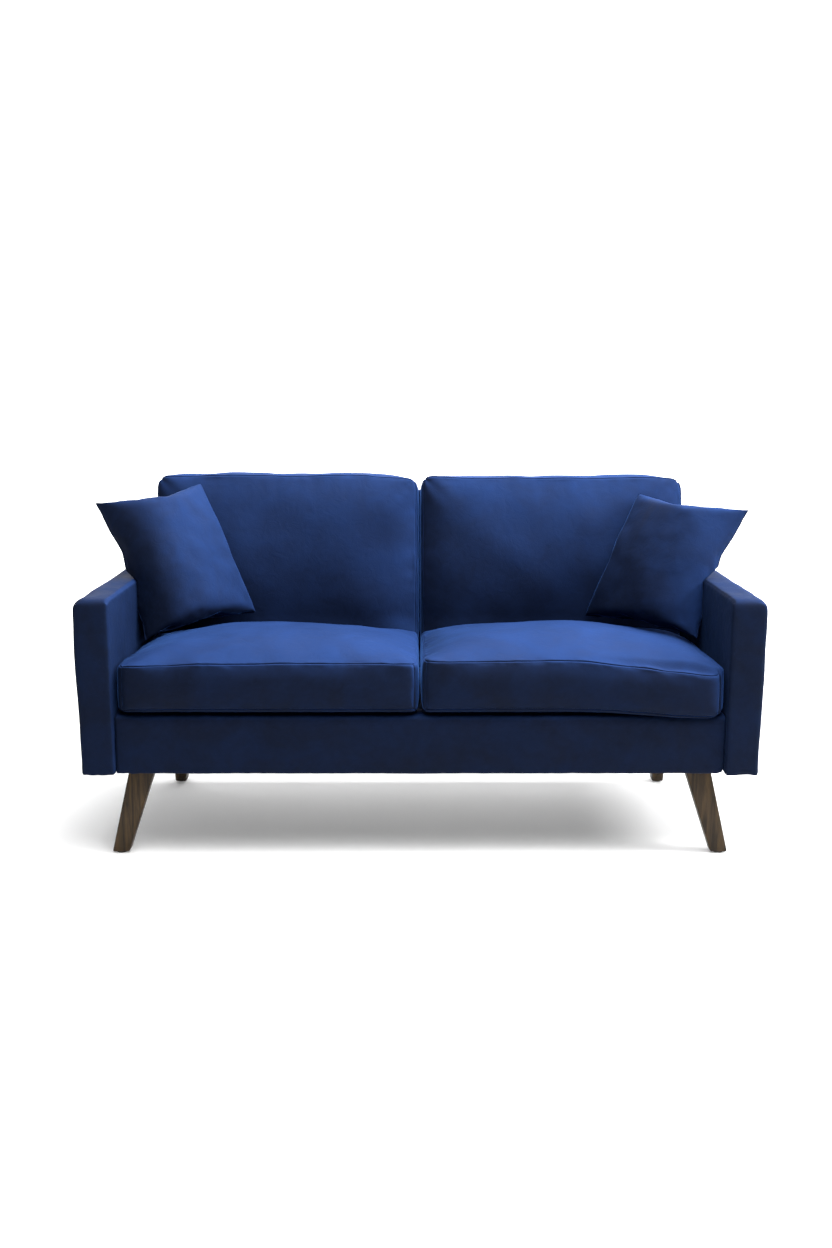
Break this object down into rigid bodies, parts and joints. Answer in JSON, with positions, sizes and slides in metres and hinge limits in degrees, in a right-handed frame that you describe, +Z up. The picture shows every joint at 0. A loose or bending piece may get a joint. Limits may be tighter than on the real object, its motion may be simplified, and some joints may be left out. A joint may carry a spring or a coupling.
{
  "type": "sofa",
  "caption": "Compact upholstered sofa with loose box cushions, slim square arms, corner throw pillows and splayed tapered wooden legs.",
  "frame": {"origin": "on the floor, under the middle of the sofa's overall box", "axes": "+Z up, +X to the right of someone who stands in front of the sofa, and the sofa faces -Y"},
  "size_m": [1.5336, 0.7768, 0.8293],
  "materials": {
    "body_velvet": "navy blue velvet with a brushed pile",
    "cushion_velvet": "navy blue velvet with a brushed pile",
    "pillow_velvet": "navy blue velvet with a brushed pile",
    "walnut": "dark walnut with a satin clear coat",
    "frame_timber": "raw softwood and plywood",
    "steel": "plain zinc-plated steel",
    "cushion_foam": "open-cell polyurethane foam",
    "fibre_fill": "polyester fibre in a plain casing",
    "webbing": "woven elastic webbing",
    "deck_cloth": "plain woven lining cloth",
    "dust_cloth": "black spun-bonded dust cloth",
    "zip_tape": "woven tape with a closed coil zip",
    "glide_plastic": "moulded black plastic"
  },
  "bodies": {
    "sofa_frame": {"leg_front_left": "walnut", "leg_bolt_front_left": "steel", "glide_front_left": "glide_plastic", "leg_rear_left": "walnut", "leg_bolt_rear_left": "steel", "glide_rear_left": "glide_plastic", "leg_front_right": "walnut", "leg_bolt_front_right": "steel", "glide_front_right": "glide_plastic", "leg_rear_right": "walnut", "leg_bolt_rear_right": "steel", "glide_rear_right": "glide_plastic", "front_rail": "frame_timber", "rear_rail": "frame_timber", "side_rail_left": "frame_timber", "side_rail_right": "frame_timber", "centre_support": "frame_timber", "corner_block_front_left": "frame_timber", "corner_block_rear_left": "frame_timber", "corner_block_front_right": "frame_timber", "corner_block_rear_right": "frame_timber", "spring_unit_left": "steel", "spring_unit_right": "steel", "front_panel_cover": "body_velvet", "seat_deck": "deck_cloth", "dust_cover": "dust_cloth", "arm_cover_left": "body_velvet", "arm_panel_left": "frame_timber", "arm_bolt_front_left": "steel", "arm_bolt_rear_left": "steel", "arm_cover_right": "body_velvet", "arm_panel_right": "frame_timber", "arm_bolt_front_right": "steel", "arm_bolt_rear_right": "steel", "back_bottom_rail": "frame_timber", "back_top_rail": "frame_timber", "back_post_left": "frame_timber", "back_post_centre": "frame_timber", "back_post_right": "frame_timber", "back_webbing_left": "webbing", "back_webbing_right": "webbing", "back_cover": "body_velvet", "back_bolt_left": "steel", "back_bolt_right": "steel"},
    "seat_cushion_left": {"seat_cushion_left_cover": "cushion_velvet", "seat_cushion_left_foam": "cushion_foam", "seat_cushion_left_zip": "zip_tape"},
    "back_cushion_left": {"back_cushion_left_cover": "cushion_velvet", "back_cushion_left_fill": "fibre_fill", "back_cushion_left_zip": "zip_tape"},
    "throw_pillow_left": {"throw_pillow_left_cover": "pillow_velvet", "throw_pillow_left_insert": "fibre_fill"},
    "seat_cushion_right": {"seat_cushion_right_cover": "cushion_velvet", "seat_cushion_right_foam": "cushion_foam", "seat_cushion_right_zip": "zip_tape"},
    "back_cushion_right": {"back_cushion_right_cover": "cushion_velvet", "back_cushion_right_fill": "fibre_fill", "back_cushion_right_zip": "zip_tape"},
    "throw_pillow_right": {"throw_pillow_right_cover": "pillow_velvet", "throw_pillow_right_insert": "fibre_fill"}
  },
  "joints": [
    {"name": "seat_cushion_left_lift", "type": "slide", "parent": "sofa_frame", "child": "seat_cushion_left", "axis": [0, 0, 1], "range_m": [0, 0.35]},
    {"name": "back_cushion_left_lift", "type": "slide", "parent": "sofa_frame", "child": "back_cushion_left", "axis": [0, 0.2079, 0.9781], "range_m": [0, 0.4]},
    {"name": "throw_pillow_left_lift", "type": "slide", "parent": "seat_cushion_left", "child": "throw_pillow_left", "axis": [0, 0, 1], "range_m": [0, 0.35]},
    {"name": "seat_cushion_right_lift", "type": "slide", "parent": "sofa_frame", "child": "seat_cushion_right", "axis": [0, 0, 1], "range_m": [0, 0.35]},
    {"name": "back_cushion_right_lift", "type": "slide", "parent": "sofa_frame", "child": "back_cushion_right", "axis": [0, 0.2079, 0.9781], "range_m": [0, 0.4]},
    {"name": "throw_pillow_right_lift", "type": "slide", "parent": "seat_cushion_right", "child": "throw_pillow_right", "axis": [0, 0, 1], "range_m": [0, 0.35]}
  ]
}
